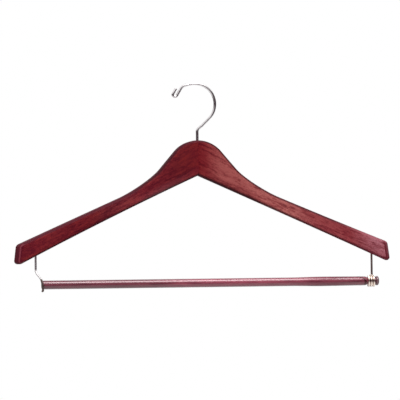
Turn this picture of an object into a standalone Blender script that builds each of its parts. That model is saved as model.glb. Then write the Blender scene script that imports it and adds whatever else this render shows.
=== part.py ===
"""Wooden suit hanger with a swivel hook and a trouser bar on a wire gate.

Units are metres, +Z is up, +X is to the right and the viewer looks along +Y.
The origin is where a rail carries the hook, under the hook's crown, on the swivel's axis.
The arms bow forward, towards -Y. The trouser bar hangs under them on two bent wires: its
left end lies in an open catch, and its right end turns in a coil whose leg turns in the wood,
so the bar swings out backward like a gate.
"""
import math

import bmesh
import bpy
from mathutils import Matrix, Vector

MM = 0.001

# Wooden body, measured in its middle plane. A depth is a distance below the top of the crown.
SPAN = 445.6 * MM
WOOD_THICKNESS = 14.0 * MM
EDGE_ROUND = 3.5 * MM
CROWN_RADIUS = 36.5 * MM
FLANK_ANGLE = math.radians(49.7)
FLANK_LENGTH = 28.8 * MM
CROTCH_DEPTH = 41.9 * MM
UNDERSIDE_ANGLE = math.radians(25.4)
UNDERSIDE_ARCH = 1.4 * MM
WAIST_X = 96.5 * MM
WAIST_HEIGHT = 17.7 * MM
END_HEIGHT = 24.7 * MM
END_LEAN = math.radians(7.0)
END_TOP_RADIUS = 5.5 * MM
END_BOTTOM_RADIUS = 3.6 * MM
FORWARD_BOW = 45.0 * MM
BOW_POWER = 1.7
FLANK_HANDLE_SHARE = 0.195
WAIST_HANDLE_SHARE = 0.331

# Fits. Pieces that touch keep FIT_GAP, and a piece that turns in another keeps RUNNING_GAP.
FIT_GAP = 0.3 * MM
RUNNING_GAP = 0.4 * MM
CUT_OVERRUN = 3.0 * MM
WELD_DISTANCE = 0.01 * MM

# Dowels glued across the seam between the two arms.
DOWEL_RADIUS = 2.5 * MM
DOWEL_LENGTH = 26.0 * MM
DOWEL_CHAMFER = 0.6 * MM
DOWEL_UPPER_DEPTH = 26.5 * MM
DOWEL_LOWER_DEPTH = 34.5 * MM

# Hook: one bent wire. A bend is given by the radius of the wire's centre line.
HOOK_WIRE_RADIUS = 1.6 * MM
HOOK_HEIGHT = 66.2 * MM
SHANK_IN_WOOD = 20.0 * MM
SHANK_BEND_RADIUS = 5.0 * MM
SHANK_BEND = math.radians(55.0)
THROAT_RADIUS = 40.0 * MM
THROAT_BEND = math.radians(10.0)
THROAT_LENGTH = 10.4 * MM
HOOK_RADIUS = 24.1 * MM
HOOK_BEND = math.radians(140.0)
BROW_RADIUS = 44.0 * MM
BROW_BEND = math.radians(13.0)
NOSE_RADIUS = 10.0 * MM
NOSE_BEND = math.radians(42.0)
NOSE_LENGTH = 9.0 * MM
FOLD_RADIUS = 2.5 * MM
FOLD_LENGTH = 7.0 * MM

# Groove round the hook's shank and the nail that sits in it.
HOOK_GROOVE_DEPTH = 11.0 * MM
HOOK_GROOVE_RADIUS = 1.0 * MM
GROOVE_FLARE = 0.3 * MM
HOOK_PIN_RADIUS = 0.7 * MM
HOOK_PIN_LENGTH = 11.0 * MM
PIN_SUNK = 0.4 * MM

# Trouser bar. Its thickness varies a little along its length, as the turned bar's does.
# Its axis lies BAR_DROP below the wood, measured at the right wire's leg.
BAR_RADIUS = 5.05 * MM
BAR_SWELL_RADIUS = 5.6 * MM
BAR_SHOULDER_RADIUS = 5.35 * MM
BAR_DROP = 31.9 * MM
BAR_END_ROUND = 1.4 * MM
BAR_SHOULDER_ROUND = 6.0 * MM
NECK_RADIUS = 4.4 * MM
SWELL_SPAN_SHARES = (0.755, 0.86)

# End knob with the spigot that is glued into the bar's neck.
KNOB_RADIUS = 5.5 * MM
KNOB_LENGTH = 3.2 * MM
KNOB_ROUND = 1.3 * MM
SPIGOT_RADIUS = 1.8 * MM
SPIGOT_LENGTH = 8.0 * MM

# The two bar wires have one thickness.
BAR_WIRE_RADIUS = 1.2 * MM
LEG_IN_WOOD = 14.5 * MM

# Left wire: a leg, a crank forward to the bar's end, and an open catch round its front.
CATCH_INSET = 24.6 * MM
CATCH_LEG_RISE = 17.5 * MM
CATCH_CRANK_OUT = 4.9 * MM
CATCH_RADIUS = 7.0 * MM
CATCH_START = math.radians(25.0)
CATCH_TURN = math.radians(155.0)
CATCH_SLANT = 2.6 * MM
CATCH_TAIL = 6.5 * MM
CATCH_TAIL_DROP = 0.8 * MM
CATCH_BEND = 5.0 * MM
BAR_END_PAST_CATCH = 1.7 * MM

# Right wire: a leg that turns in the wood and a coil round the bar's neck.
COIL_INSET = 20.9 * MM
COIL_JOG = 1.2 * MM
COIL_JOG_RISE = 9.0 * MM
COIL_PITCH = 3.0 * MM
COIL_TURNS = 2.58
COIL_TAIL = 4.0 * MM
LEG_GROOVE_RISE = 8.0 * MM
LEG_GROOVE_RADIUS = 0.65 * MM
LEG_PIN_RADIUS = 0.5 * MM
LEG_PIN_LENGTH = 10.0 * MM

# How finely curves are divided.
CROWN_STEPS = 9
CURVE_STEPS = 12
CORNER_STEPS = 4
UNDERSIDE_STEPS = 8
EDGE_SEGMENTS = 3
SHARP_ANGLE = math.radians(45.0)
FLAT_ANGLE = math.radians(0.01)
BOW_CUT_STEP = 14.0 * MM
BEND_STEP = math.radians(7.5)
LOOP_STEPS = 24
WIRE_RESOLUTION = 4
COIL_RESOLUTION = 1
TURNED_STEPS = 32
ROD_STEPS = 20
BORE_SIDES = 24

# Places worked out from the sizes above.
HALF_SPAN = SPAN / 2
CROWN_Z = -HOOK_HEIGHT
CATCH_LEG_X = -(HALF_SPAN - CATCH_INSET)
COIL_LEG_X = HALF_SPAN - COIL_INSET
COIL_RADIUS = NECK_RADIUS + RUNNING_GAP + BAR_WIRE_RADIUS
COIL_START_X = COIL_LEG_X + COIL_JOG
NECK_END_X = COIL_START_X + BAR_WIRE_RADIUS + RUNNING_GAP - FIT_GAP
SHOULDER_X = COIL_START_X - COIL_PITCH * COIL_TURNS - BAR_WIRE_RADIUS - RUNNING_GAP
CATCH_X = CATCH_LEG_X + CATCH_CRANK_OUT
BAR_LEFT_X = CATCH_X + CATCH_SLANT - BAR_END_PAST_CATCH


def bow_y(x):
    """Place of the wood's middle plane at a distance x from the seam."""
    return -FORWARD_BOW * (abs(x) / HALF_SPAN) ** BOW_POWER


def bow_angle(x):
    """Angle between the arm and the X axis at x, seen from above."""
    rise = BOW_POWER * FORWARD_BOW * (abs(x) / HALF_SPAN) ** (BOW_POWER - 1)
    return math.atan(rise / HALF_SPAN)


def underside_depth(x):
    """Depth of the arm's lower edge, a slope with a slight arch."""
    share = abs(x) / HALF_SPAN
    arch = 4 * UNDERSIDE_ARCH * share * (1 - share)
    return CROTCH_DEPTH + abs(x) * math.tan(UNDERSIDE_ANGLE) - arch


def underside_z(x):
    """Height of the arm's lower edge at x, where a wire's leg comes out."""
    return CROWN_Z - underside_depth(x)


def arm_height(x):
    """Height of the arm between its waist and its end."""
    share = (abs(x) - WAIST_X) / (HALF_SPAN - WAIST_X)
    return WAIST_HEIGHT + (END_HEIGHT - WAIST_HEIGHT) * share


def bezier(start, start_handle, end_handle, end, steps):
    """Points along one cubic curve, both ends included."""
    points = []
    for i in range(steps + 1):
        t = i / steps
        s = 1 - t
        points.append(start * s ** 3 + start_handle * 3 * s * s * t
                      + end_handle * 3 * s * t * t + end * t ** 3)
    return points


def round_corner(before, corner, after, radius, steps):
    """Points of the arc that rounds a corner between two straight edges."""
    to_before = (before - corner).normalized()
    to_after = (after - corner).normalized()
    half_angle = to_before.angle(to_after) / 2
    centre = corner + (to_before + to_after).normalized() * radius / math.sin(half_angle)
    reach = radius / math.tan(half_angle)
    first = (corner + to_before * reach - centre).normalized()
    last = (corner + to_after * reach - centre).normalized()
    return [centre + first.slerp(last, i / steps) * radius for i in range(steps + 1)]


def half_outline():
    """The right half of the wood's outline, from the crown round the end to the crotch.

    Each point is (x, depth, 0).
    """
    points = []
    for i in range(CROWN_STEPS + 1):
        angle = FLANK_ANGLE * i / CROWN_STEPS
        points.append(Vector((math.sin(angle), 1 - math.cos(angle), 0)) * CROWN_RADIUS)
    flank = Vector((math.cos(FLANK_ANGLE), math.sin(FLANK_ANGLE), 0))
    flank_end = points[-1] + flank * FLANK_LENGTH

    waist = Vector((WAIST_X, underside_depth(WAIST_X) - arm_height(WAIST_X), 0))
    end_top = Vector((HALF_SPAN - END_HEIGHT * math.tan(END_LEAN),
                      underside_depth(HALF_SPAN) - END_HEIGHT, 0))
    end_bottom = Vector((HALF_SPAN, underside_depth(HALF_SPAN), 0))
    arm = (end_top - waist).normalized()
    reach = (waist - flank_end).length
    points += bezier(flank_end, flank_end + flank * reach * FLANK_HANDLE_SHARE,
                     waist - arm * reach * WAIST_HANDLE_SHARE, waist, CURVE_STEPS)

    underside = []
    for i in range(UNDERSIDE_STEPS, 0, -1):
        x = (HALF_SPAN - 2 * END_BOTTOM_RADIUS) * i / UNDERSIDE_STEPS
        underside.append(Vector((x, underside_depth(x), 0)))
    points += round_corner(waist, end_top, end_bottom, END_TOP_RADIUS, CORNER_STEPS)
    points += round_corner(end_top, end_bottom, underside[0], END_BOTTOM_RADIUS, CORNER_STEPS)
    points += underside
    points.append(Vector((0, underside_depth(0), 0)))
    return points


def whole_outline():
    """Both halves of the outline in one closed loop."""
    right = half_outline()
    left = [Vector((-p.x, p.y, 0)) for p in reversed(right[1:-1])]
    return right + left


def new_collection(name):
    """A collection under the scene's own."""
    collection = bpy.data.collections.new(name)
    bpy.context.scene.collection.children.link(collection)
    return collection


def new_material(name, colour, roughness, metallic=0.0):
    """A plain Principled material."""
    material = bpy.data.materials.new(name)
    material.use_nodes = True
    shader = material.node_tree.nodes["Principled BSDF"]
    shader.inputs["Base Color"].default_value = (*colour, 1.0)
    shader.inputs["Roughness"].default_value = roughness
    shader.inputs["Metallic"].default_value = metallic
    return material


def new_object(name, data, collection, location=(0, 0, 0), material=None):
    """An object in a collection, with its material."""
    item = bpy.data.objects.new(name, data)
    collection.objects.link(item)
    item.location = location
    if material:
        data.materials.append(material)
    return item


def new_axis(name, location, collection, parent=None):
    """An empty on a joint's axis, which carries the pieces that turn there."""
    axis = new_object(name, None, collection, location)
    axis.empty_display_size = WOOD_THICKNESS
    if parent:
        carry([axis], parent)
    return axis


def carry(items, parent):
    """Parent objects and keep them where they are."""
    bpy.context.view_layer.update()
    for item in items:
        item.parent = parent
        item.matrix_parent_inverse = parent.matrix_world.inverted()


def turned(name, profile, steps, place, direction, collection, material=None):
    """A turned piece: a profile of (radius, height) points spun about its own Z axis.

    The profile runs from the piece's top down its outer side. Z is laid along direction.
    """
    mesh = bpy.data.meshes.new(name)
    edges = [(i, i + 1) for i in range(len(profile) - 1)]
    mesh.from_pydata([(radius, 0, height) for radius, height in profile], edges, [])
    item = new_object(name, mesh, collection, place, material)
    item.rotation_euler = direction.to_track_quat("Z", "Y").to_euler()
    screw = item.modifiers.new("spin", "SCREW")
    screw.steps = steps
    screw.render_steps = steps
    screw.use_merge_vertices = True
    screw.merge_threshold = WELD_DISTANCE
    screw.use_smooth_shade = True
    return item


def rod(name, radius, length, chamfer, place, direction, collection, material=None):
    """A round rod with chamfered ends, centred on place."""
    half = length / 2
    profile = [(0, half), (radius - chamfer, half), (radius, half - chamfer),
               (radius, chamfer - half), (radius - chamfer, -half), (0, -half)]
    return turned(name, profile, ROD_STEPS, place, direction, collection, material)


def bore_cutter(name, radius, start, end, collection):
    """A cylinder between two points, hidden and kept for cutting."""
    bm = bmesh.new()
    bmesh.ops.create_cone(bm, cap_ends=True, segments=BORE_SIDES, radius1=radius,
                          radius2=radius, depth=(end - start).length)
    turn = (end - start).to_track_quat("Z", "Y").to_matrix().to_4x4()
    bm.transform(Matrix.Translation((start + end) / 2) @ turn)
    mesh = bpy.data.meshes.new(name)
    bm.to_mesh(mesh)
    bm.free()
    item = new_object(name, mesh, collection)
    item.hide_render = True
    item.display_type = "WIRE"
    return item


def cut(item, cutters):
    """Subtract each cutter from the item."""
    for cutter in cutters:
        boolean = item.modifiers.new(cutter.name, "BOOLEAN")
        boolean.operation = "DIFFERENCE"
        boolean.object = cutter
        boolean.solver = "EXACT"


def wire(name, points, radius, resolution, origin, collection, material, shares=None):
    """A round wire through points. A share thins the wire at its point, as in a groove."""
    curve = bpy.data.curves.new(name, "CURVE")
    curve.dimensions = "3D"
    curve.bevel_depth = radius
    curve.bevel_resolution = resolution
    curve.use_fill_caps = True
    spline = curve.splines.new("POLY")
    spline.points.add(len(points) - 1)
    for i, knot in enumerate(spline.points):
        knot.co = (points[i] - origin).to_4d()
        knot.radius = shares[i] if shares else 1.0
    spline.use_smooth = True
    return new_object(name, curve, collection, origin, material)


def groove(middle, half_length, wire_radius, groove_radius, upward):
    """Points and shares of a groove in an upright wire, in the order of travel."""
    share = groove_radius / wire_radius
    heights = [-half_length - GROOVE_FLARE, -half_length, half_length,
               half_length + GROOVE_FLARE]
    if not upward:
        heights.reverse()
    points = [middle + Vector((0, 0, height)) for height in heights]
    return points, [1.0, share, share, 1.0]


def bend(points, heading, radius, angle):
    """Carry a path on through a bend in the XZ plane. A positive angle turns left."""
    side = math.copysign(1.0, angle)
    steps = max(2, math.ceil(abs(angle) / BEND_STEP))
    start = points[-1]
    centre = start + Vector((-math.sin(heading), 0, math.cos(heading))) * radius * side
    for i in range(1, steps + 1):
        turn = Matrix.Rotation(-angle * i / steps, 3, "Y")
        points.append(centre + turn @ (start - centre))
    return heading + angle


def straight(points, heading, length):
    """Carry a path straight on in the XZ plane."""
    points.append(points[-1] + Vector((math.cos(heading), 0, math.sin(heading))) * length)


def hook_path():
    """Points of the hook from the foot of its shank to its folded tip, and their shares."""
    points = [Vector((0, 0, 0))]
    heading = bend(points, math.pi / 2, SHANK_BEND_RADIUS, -SHANK_BEND)
    heading = bend(points, heading, THROAT_RADIUS, THROAT_BEND)
    straight(points, heading, THROAT_LENGTH)
    heading = bend(points, heading, HOOK_RADIUS, HOOK_BEND)
    heading = bend(points, heading, BROW_RADIUS, BROW_BEND)
    heading = bend(points, heading, NOSE_RADIUS, NOSE_BEND)
    straight(points, heading, NOSE_LENGTH)
    heading = bend(points, heading, FOLD_RADIUS, -math.pi)
    straight(points, heading, FOLD_LENGTH)

    lift = Vector((0, 0, HOOK_WIRE_RADIUS - max(p.z for p in points)))
    foot = Vector((0, 0, CROWN_Z - SHANK_IN_WOOD))
    groove_middle = Vector((0, 0, CROWN_Z - HOOK_GROOVE_DEPTH))
    ring, ring_shares = groove(groove_middle, HOOK_PIN_RADIUS + FIT_GAP, HOOK_WIRE_RADIUS,
                               HOOK_GROOVE_RADIUS, upward=True)
    path = [foot] + ring + [p + lift for p in points]
    return path, [1.0] + ring_shares + [1.0] * len(points)


def loop_point(angle, x, radius, centre_z):
    """A point on a loop round the bar. The angle runs from the top over the front."""
    return Vector((x, BAR_Y - radius * math.sin(angle), centre_z + radius * math.cos(angle)))


def catch_path():
    """Points of the left wire: down its leg, forward to the bar and round its front."""
    leg_y = bow_y(CATCH_LEG_X)
    top = Vector((CATCH_LEG_X, leg_y, underside_z(CATCH_LEG_X) + LEG_IN_WOOD))
    knee = Vector((CATCH_LEG_X, leg_y, BAR_Z + CATCH_LEG_RISE))
    centre_z = BAR_Z + CATCH_RADIUS - BAR_WIRE_RADIUS - FIT_GAP - BAR_RADIUS
    steps = math.ceil(CATCH_TURN / BEND_STEP)
    loop = []
    for i in range(steps + 1):
        share = i / steps
        angle = CATCH_START + CATCH_TURN * share
        loop.append(loop_point(angle, CATCH_X + CATCH_SLANT * share, CATCH_RADIUS, centre_z))
    arrival = (loop[1] - loop[0]).normalized()
    crank = bezier(knee, knee - Vector((0, 0, CATCH_BEND)), loop[0] - arrival * CATCH_BEND,
                   loop[0], CURVE_STEPS)
    tail_middle = loop[-1] + Vector((0, CATCH_TAIL / 2, 0))
    tail_end = loop[-1] + Vector((0, CATCH_TAIL, -CATCH_TAIL_DROP))
    return [top] + crank + loop[1:] + [tail_middle, tail_end]


def coil_path():
    """Points of the right wire from the top of its leg to its tail, and their shares."""
    leg_foot = underside_z(COIL_LEG_X)
    top = Vector((COIL_LEG_X, COIL_LEG_Y, leg_foot + LEG_IN_WOOD))
    groove_middle = Vector((COIL_LEG_X, COIL_LEG_Y, leg_foot + LEG_GROOVE_RISE))
    ring, ring_shares = groove(groove_middle, LEG_PIN_RADIUS + FIT_GAP, BAR_WIRE_RADIUS,
                               LEG_GROOVE_RADIUS, upward=False)
    knee = Vector((COIL_LEG_X, COIL_LEG_Y, BAR_Z + COIL_JOG_RISE))
    coil = coil_turns()
    down = Vector((0, 0, COIL_JOG_RISE / 2))
    jog = bezier(knee, knee - down, coil[0] + down, coil[0], CURVE_STEPS // 2)
    tail = coil[-1] + (coil[-1] - coil[-2]).normalized() * COIL_TAIL
    path = [top] + ring + jog + coil[1:] + [tail]
    shares = [1.0] + ring_shares + [1.0] * (len(path) - len(ring) - 1)
    return path, shares


def coil_turns():
    """Points of the coil, from behind the bar's neck, under it and up its front."""
    count = math.ceil(COIL_TURNS * LOOP_STEPS)
    turns = []
    for i in range(count + 1):
        turn = COIL_TURNS * i / count
        angle = math.radians(270) - 2 * math.pi * turn
        turns.append(loop_point(angle, COIL_START_X - COIL_PITCH * turn, COIL_RADIUS, BAR_Z))
    return turns


def least_gap(points, loop_steps, radius):
    """The least gap between stretches of a wound wire that lie half a turn or more apart."""
    apart = loop_steps // 2
    nearest = min((points[i] - points[j]).length
                  for i in range(len(points)) for j in range(i + apart, len(points)))
    return nearest - 2 * radius


# The right leg stands in the wood's middle plane, and the coil's axis lies in front of it.
COIL_LEG_Y = bow_y(COIL_LEG_X)
BAR_Y = COIL_LEG_Y - COIL_RADIUS
BAR_Z = underside_z(COIL_LEG_X) - BAR_DROP


def wooden_blank():
    """The whole wooden body as one closed mesh: sawn, rounded over and bowed."""
    curve = bpy.data.curves.new("blank", "CURVE")
    curve.dimensions = "2D"
    curve.fill_mode = "BOTH"
    curve.extrude = WOOD_THICKNESS / 2
    outline = whole_outline()
    spline = curve.splines.new("POLY")
    spline.points.add(len(outline) - 1)
    for knot, place in zip(spline.points, outline):
        knot.co = Vector((place.x, -place.y, 0)).to_4d()
    spline.use_cyclic_u = True
    pattern = new_object("blank", curve, bpy.context.scene.collection, (0, 0, CROWN_Z))
    pattern.rotation_euler = (math.pi / 2, 0, 0)
    bpy.context.view_layer.update()
    evaluated = pattern.evaluated_get(bpy.context.evaluated_depsgraph_get())
    mesh = bpy.data.meshes.new_from_object(evaluated)
    mesh.transform(pattern.matrix_world)
    bpy.data.objects.remove(pattern)

    bm = bmesh.new()
    bm.from_mesh(mesh)
    bpy.data.meshes.remove(mesh)
    bmesh.ops.remove_doubles(bm, verts=bm.verts, dist=WELD_DISTANCE)
    bmesh.ops.recalc_face_normals(bm, faces=bm.faces)
    inner = [e for e in bm.edges if e.calc_face_angle(0.0) < FLAT_ANGLE
             and abs(e.verts[0].co.y - e.verts[1].co.y) < WELD_DISTANCE]
    bmesh.ops.dissolve_edges(bm, edges=inner, use_verts=False)
    rims = [e for e in bm.edges if abs(e.verts[0].co.y - e.verts[1].co.y) < WELD_DISTANCE
            and e.calc_face_angle(0.0) > SHARP_ANGLE]
    bmesh.ops.bevel(bm, geom=rims, offset=EDGE_ROUND, segments=EDGE_SEGMENTS, profile=0.5,
                    affect="EDGES", clamp_overlap=True)
    cut_for_bow(bm)
    for vert in bm.verts:
        side = math.copysign(1.0, vert.co.x)
        angle = bow_angle(vert.co.x)
        x = vert.co.x + side * vert.co.y * math.sin(angle)
        y = bow_y(vert.co.x) + vert.co.y * math.cos(angle)
        vert.co = (x, y, vert.co.z)
    return bm


def cut_for_bow(bm):
    """Divide the arms at even steps, so that they can bow."""
    steps = math.ceil(HALF_SPAN / BOW_CUT_STEP)
    for side in (-1, 1):
        for i in range(1, steps):
            x = side * HALF_SPAN * i / steps
            everything = bm.verts[:] + bm.edges[:] + bm.faces[:]
            bmesh.ops.bisect_plane(bm, geom=everything, dist=WELD_DISTANCE,
                                   plane_co=(x, 0, 0), plane_no=(1, 0, 0))


def arm(name, side, blank, collection, material):
    """One half of the body, cut from the blank at the seam."""
    bm = blank.copy()
    everything = bm.verts[:] + bm.edges[:] + bm.faces[:]
    bmesh.ops.bisect_plane(bm, geom=everything, dist=WELD_DISTANCE,
                           plane_co=(side * FIT_GAP / 2, 0, 0), plane_no=(side, 0, 0),
                           clear_inner=True)
    bmesh.ops.holes_fill(bm, edges=[e for e in bm.edges if e.is_boundary])
    bmesh.ops.triangulate(bm, faces=bm.faces)
    bmesh.ops.recalc_face_normals(bm, faces=bm.faces)
    mesh = bpy.data.meshes.new(name)
    bm.to_mesh(mesh)
    bm.free()
    item = new_object(name, mesh, collection, (0, 0, 0), material)
    mesh.shade_smooth()
    mesh.set_sharp_from_angle(angle=SHARP_ANGLE)
    return item


def make_dowels(collection, cutters, material):
    """The two hidden dowels and the holes that they fill."""
    dowels = []
    holes = []
    along = Vector((1, 0, 0))
    for name, depth in (("joint_dowel_upper", DOWEL_UPPER_DEPTH),
                        ("joint_dowel_lower", DOWEL_LOWER_DEPTH)):
        middle = Vector((0, 0, CROWN_Z - depth))
        half_hole = along * (DOWEL_LENGTH / 2 + FIT_GAP)
        dowels.append(rod(name, DOWEL_RADIUS, DOWEL_LENGTH, DOWEL_CHAMFER, middle, along,
                          collection, material))
        holes.append(bore_cutter(name + "_hole", DOWEL_RADIUS + FIT_GAP,
                                 middle - half_hole, middle + half_hole, cutters))
    return dowels, holes


def make_pin(name, radius, length, axis_x, back_y, z, collection, cutters, material):
    """A nail driven in from the back along -Y, and the hole that it fills."""
    middle = Vector((axis_x, back_y - PIN_SUNK - length / 2, z))
    pin = rod(name, radius, length, radius / 2, middle, Vector((0, 1, 0)), collection, material)
    start = middle - Vector((0, length / 2 + FIT_GAP, 0))
    end = Vector((axis_x, back_y + CUT_OVERRUN, z))
    return pin, bore_cutter(name + "_hole", radius + FIT_GAP, start, end, cutters)


def make_wood(collection, cutters, wood, dowel_wood, steel):
    """The two arms with their bores, the dowels between them and the two nails."""
    blank = wooden_blank()
    left = arm("left_arm", -1, blank, collection, wood)
    right = arm("right_arm", 1, blank, collection, wood)
    blank.free()

    dowels, dowel_holes = make_dowels(collection, cutters, dowel_wood)
    crown = Vector((0, 0, CROWN_Z))
    hook_bore = bore_cutter("hook_bore", HOOK_WIRE_RADIUS + FIT_GAP,
                            crown - Vector((0, 0, SHANK_IN_WOOD + FIT_GAP)),
                            crown + Vector((0, 0, CUT_OVERRUN)), cutters)
    hook_pin, hook_pin_hole = make_pin(
        "hook_pin", HOOK_PIN_RADIUS, HOOK_PIN_LENGTH,
        HOOK_GROOVE_RADIUS + FIT_GAP + HOOK_PIN_RADIUS, WOOD_THICKNESS / 2,
        CROWN_Z - HOOK_GROOVE_DEPTH, collection, cutters, steel)

    bores = []
    for name, x in (("catch_bore", CATCH_LEG_X), ("coil_bore", COIL_LEG_X)):
        foot = Vector((x, bow_y(x), underside_z(x)))
        bores.append(bore_cutter(name, BAR_WIRE_RADIUS + FIT_GAP,
                                 foot - Vector((0, 0, CUT_OVERRUN)),
                                 foot + Vector((0, 0, LEG_IN_WOOD + FIT_GAP)), cutters))
    pin_x = COIL_LEG_X - LEG_GROOVE_RADIUS - FIT_GAP - LEG_PIN_RADIUS
    back_y = bow_y(pin_x) + WOOD_THICKNESS / 2 / math.cos(bow_angle(pin_x))
    coil_pin, coil_pin_hole = make_pin(
        "coil_wire_pin", LEG_PIN_RADIUS, LEG_PIN_LENGTH, pin_x, back_y,
        underside_z(COIL_LEG_X) + LEG_GROOVE_RISE, collection, cutters, steel)

    cut(left, dowel_holes + [hook_bore, bores[0]])
    cut(right, dowel_holes + [hook_bore, hook_pin_hole, bores[1], coil_pin_hole])
    return [left, right, hook_pin, coil_pin] + dowels


def quarter(centre_radius, centre_height, radial, axial, steps, from_top):
    """Profile points of a rounded edge, a quarter of an ellipse."""
    points = []
    for i in range(steps + 1):
        angle = math.pi / 2 * i / steps
        across = math.sin(angle) if from_top else math.cos(angle)
        along = math.cos(angle) if from_top else -math.sin(angle)
        points.append((centre_radius + radial * across, centre_height + axial * along))
    return points


def make_bar(collection, material):
    """The trouser bar, turned about its own axis, with the bore for the knob's spigot."""
    hole_radius = SPIGOT_RADIUS + FIT_GAP
    hole_end = NECK_END_X - SPIGOT_LENGTH - FIT_GAP
    length = SHOULDER_X - BAR_LEFT_X
    profile = [(0, hole_end), (hole_radius, hole_end), (hole_radius, NECK_END_X),
               (NECK_RADIUS, NECK_END_X), (NECK_RADIUS, SHOULDER_X)]
    rise = BAR_SHOULDER_RADIUS - NECK_RADIUS
    profile += quarter(NECK_RADIUS, SHOULDER_X - BAR_SHOULDER_ROUND, rise,
                       BAR_SHOULDER_ROUND, CORNER_STEPS, from_top=True)[1:]
    swell_start, swell_end = (BAR_LEFT_X + length * share for share in SWELL_SPAN_SHARES)
    profile.append((BAR_SWELL_RADIUS, swell_end))
    for i in range(1, CORNER_STEPS + 1):
        share = i / CORNER_STEPS
        ease = share * share * (3 - 2 * share)
        profile.append((BAR_SWELL_RADIUS + (BAR_RADIUS - BAR_SWELL_RADIUS) * ease,
                        swell_end + (swell_start - swell_end) * share))
    profile += quarter(BAR_RADIUS - BAR_END_ROUND, BAR_LEFT_X + BAR_END_ROUND, BAR_END_ROUND,
                       BAR_END_ROUND, CORNER_STEPS, from_top=False)
    profile.append((0, BAR_LEFT_X))
    axis = Vector((COIL_START_X, BAR_Y, BAR_Z))
    profile = [(radius, x - axis.x) for radius, x in profile]
    return turned("trouser_bar", profile, TURNED_STEPS, axis, Vector((1, 0, 0)), collection,
                  material)


def make_knob(collection, material):
    """The end knob with its spigot, turned about the bar's axis."""
    inner = NECK_END_X + FIT_GAP
    outer = inner + KNOB_LENGTH
    profile = [(0, outer)]
    profile += quarter(KNOB_RADIUS - KNOB_ROUND, outer - KNOB_ROUND, KNOB_ROUND, KNOB_ROUND,
                       CORNER_STEPS, from_top=True)
    profile += quarter(KNOB_RADIUS - KNOB_ROUND, inner + KNOB_ROUND, KNOB_ROUND, KNOB_ROUND,
                       CORNER_STEPS, from_top=False)
    profile += [(SPIGOT_RADIUS, inner), (SPIGOT_RADIUS, NECK_END_X - SPIGOT_LENGTH),
                (0, NECK_END_X - SPIGOT_LENGTH)]
    axis = Vector((COIL_START_X, BAR_Y, BAR_Z))
    profile = [(radius, x - axis.x) for radius, x in profile]
    return turned("bar_knob", profile, TURNED_STEPS, axis, Vector((1, 0, 0)), collection,
                  material)


def build():
    """Clear the scene and make every piece."""
    for item in list(bpy.data.objects):
        bpy.data.objects.remove(item)
    pieces = new_collection("suit_hanger")
    cutters = new_collection("suit_hanger_cutters")

    wood = new_material("stained_wood", (0.19, 0.022, 0.028), 0.35)
    lacquer = new_material("lacquered_bar", (0.2, 0.05, 0.065), 0.18)
    knob_lacquer = new_material("lacquered_knob", (0.09, 0.035, 0.045), 0.25)
    plain_wood = new_material("beech", (0.55, 0.38, 0.22), 0.6)
    nickel = new_material("nickel_plate", (0.62, 0.61, 0.59), 0.16, 1.0)
    warm_plate = new_material("warm_plate", (0.66, 0.58, 0.48), 0.2, 1.0)
    nail_steel = new_material("nail_steel", (0.42, 0.42, 0.43), 0.4, 1.0)

    hook_points, hook_shares = hook_path()
    wire("hook", hook_points, HOOK_WIRE_RADIUS, WIRE_RESOLUTION, Vector((0, 0, CROWN_Z)),
         pieces, nickel, hook_shares)

    shoulder_pieces = make_wood(pieces, cutters, wood, plain_wood, nail_steel)
    catch_origin = Vector((CATCH_LEG_X, bow_y(CATCH_LEG_X), BAR_Z))
    shoulder_pieces.append(wire("left_catch_wire", catch_path(), BAR_WIRE_RADIUS,
                                WIRE_RESOLUTION, catch_origin, pieces, nickel))

    coil_points, coil_shares = coil_path()
    coil_origin = Vector((COIL_LEG_X, COIL_LEG_Y, BAR_Z))
    coil_wire = wire("right_coil_wire", coil_points, BAR_WIRE_RADIUS, COIL_RESOLUTION,
                     coil_origin, pieces, warm_plate, coil_shares)
    bar = make_bar(pieces, lacquer)
    knob = make_knob(pieces, knob_lacquer)

    swivel = new_axis("hook_swivel_axis", (0, 0, CROWN_Z), pieces)
    swing = new_axis("bar_swing_axis", coil_origin, pieces, swivel)
    spin = new_axis("bar_spin_axis", (COIL_START_X, BAR_Y, BAR_Z), pieces, swing)
    carry(shoulder_pieces, swivel)
    carry([coil_wire], swing)
    carry([bar, knob], spin)

    gap = least_gap(coil_turns(), LOOP_STEPS, BAR_WIRE_RADIUS)
    print(f"right_coil_wire: least gap to itself {gap / MM:.2f} mm")


build()
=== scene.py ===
"""Looks of the wooden suit hanger: stained arms, a plated hook and wires, a lacquered bar."""
import math

import bmesh
import bpy
from mathutils import Matrix, Vector


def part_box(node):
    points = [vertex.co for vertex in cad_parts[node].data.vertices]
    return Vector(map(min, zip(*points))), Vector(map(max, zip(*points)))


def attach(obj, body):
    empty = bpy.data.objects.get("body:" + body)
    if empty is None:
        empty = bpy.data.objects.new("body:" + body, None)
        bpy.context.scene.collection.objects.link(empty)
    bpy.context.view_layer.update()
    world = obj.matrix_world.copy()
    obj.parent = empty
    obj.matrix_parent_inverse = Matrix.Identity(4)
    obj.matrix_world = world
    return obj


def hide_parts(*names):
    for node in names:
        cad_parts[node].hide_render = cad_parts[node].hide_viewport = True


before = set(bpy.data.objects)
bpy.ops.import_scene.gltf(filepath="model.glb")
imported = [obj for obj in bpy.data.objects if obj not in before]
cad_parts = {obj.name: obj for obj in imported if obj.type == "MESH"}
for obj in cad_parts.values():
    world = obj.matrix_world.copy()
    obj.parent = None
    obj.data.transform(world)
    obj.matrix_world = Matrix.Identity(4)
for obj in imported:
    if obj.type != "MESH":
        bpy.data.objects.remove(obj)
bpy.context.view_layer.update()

MM = 0.001

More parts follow.
